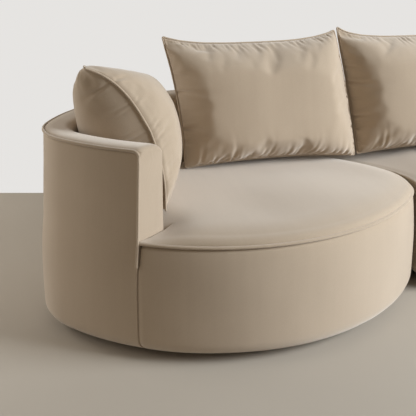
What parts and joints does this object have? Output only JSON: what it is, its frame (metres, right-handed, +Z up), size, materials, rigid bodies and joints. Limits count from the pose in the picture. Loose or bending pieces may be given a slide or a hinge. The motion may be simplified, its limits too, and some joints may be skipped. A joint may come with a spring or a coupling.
{
  "type": "settee",
  "caption": "Fabric settee of an oval seat with a wrap-round arm and back, nested against a straight seat, with loose back cushions and a side pillow.",
  "frame": {"origin": "on the floor, under the middle of the settee's bounding box", "axes": "+X to the sitter's left, seen from the front to the right, along the longest extent; +Y to the back; +Z up"},
  "size_m": [2.1594, 1.0289, 0.948],
  "materials": {
    "upholstery": "taupe brushed woven cloth, matt",
    "upholstery_piping": "the same cloth over cord",
    "foam": "upholstery foam, open-celled",
    "filling": "fibre filling in a lining",
    "plywood": "bare birch plywood",
    "webbing": "elastic webbing",
    "underlining": "black non-woven cloth",
    "steel": "zinc-plated",
    "black_plastic": "satin black",
    "zip": "nylon coil zip on a tape"
  },
  "bodies": {
    "settee": {"left_base_board": "plywood", "left_hoop": "plywood", "left_ribs": "plywood", "left_seat_ring": "plywood", "left_webbing": "webbing", "left_seat_foam": "foam", "left_seat_cover": "upholstery", "left_seat_welt": "upholstery_piping", "left_side_pad": "foam", "left_side_cover": "upholstery", "left_dust_cover": "underlining", "left_feet": "black_plastic", "left_glides": "black_plastic", "left_foot_bolts": "steel", "left_wall_ply": "plywood", "left_wall_pad": "foam", "left_wall_outer_cover": "upholstery", "left_wall_top_band": "upholstery", "left_wall_end_panels": "upholstery", "left_wall_piping": "upholstery_piping", "left_wall_bolts": "steel", "right_base_board": "plywood", "right_hoop": "plywood", "right_ribs": "plywood", "right_seat_ring": "plywood", "right_webbing": "webbing", "right_seat_foam": "foam", "right_seat_cover": "upholstery", "right_seat_welt": "upholstery_piping", "right_side_pad": "foam", "right_side_cover": "upholstery", "right_dust_cover": "underlining", "right_feet": "black_plastic", "right_glides": "black_plastic", "right_foot_bolts": "steel", "right_wall_ply": "plywood", "right_arm_pad": "foam", "right_back_pad": "foam", "right_wall_outer_cover": "upholstery", "right_wall_top_band": "upholstery", "right_wall_end_panels": "upholstery", "right_wall_piping": "upholstery_piping", "right_wall_bolts": "steel", "connector_plates": "steel", "connector_screws": "steel"},
    "left_cushion": {"left_cushion_insert": "filling", "left_cushion_cover": "upholstery", "left_cushion_welt": "upholstery_piping", "left_cushion_zip": "zip"},
    "right_cushion": {"right_cushion_insert": "filling", "right_cushion_cover": "upholstery", "right_cushion_welt": "upholstery_piping", "right_cushion_zip": "zip"},
    "side_pillow": {"side_pillow_insert": "filling", "side_pillow_cover": "upholstery", "side_pillow_welt": "upholstery_piping", "side_pillow_zip": "zip"}
  },
  "joints": [
    {"name": "left_cushion_lift", "type": "slide", "parent": "settee", "child": "left_cushion", "axis": [0, 0, 1], "range_m": [0, 0.45]},
    {"name": "right_cushion_lift", "type": "slide", "parent": "settee", "child": "right_cushion", "axis": [0, 0, 1], "range_m": [0, 0.45]},
    {"name": "side_pillow_lift", "type": "slide", "parent": "settee", "child": "side_pillow", "axis": [0, 0, 1], "range_m": [0, 0.45]}
  ]
}
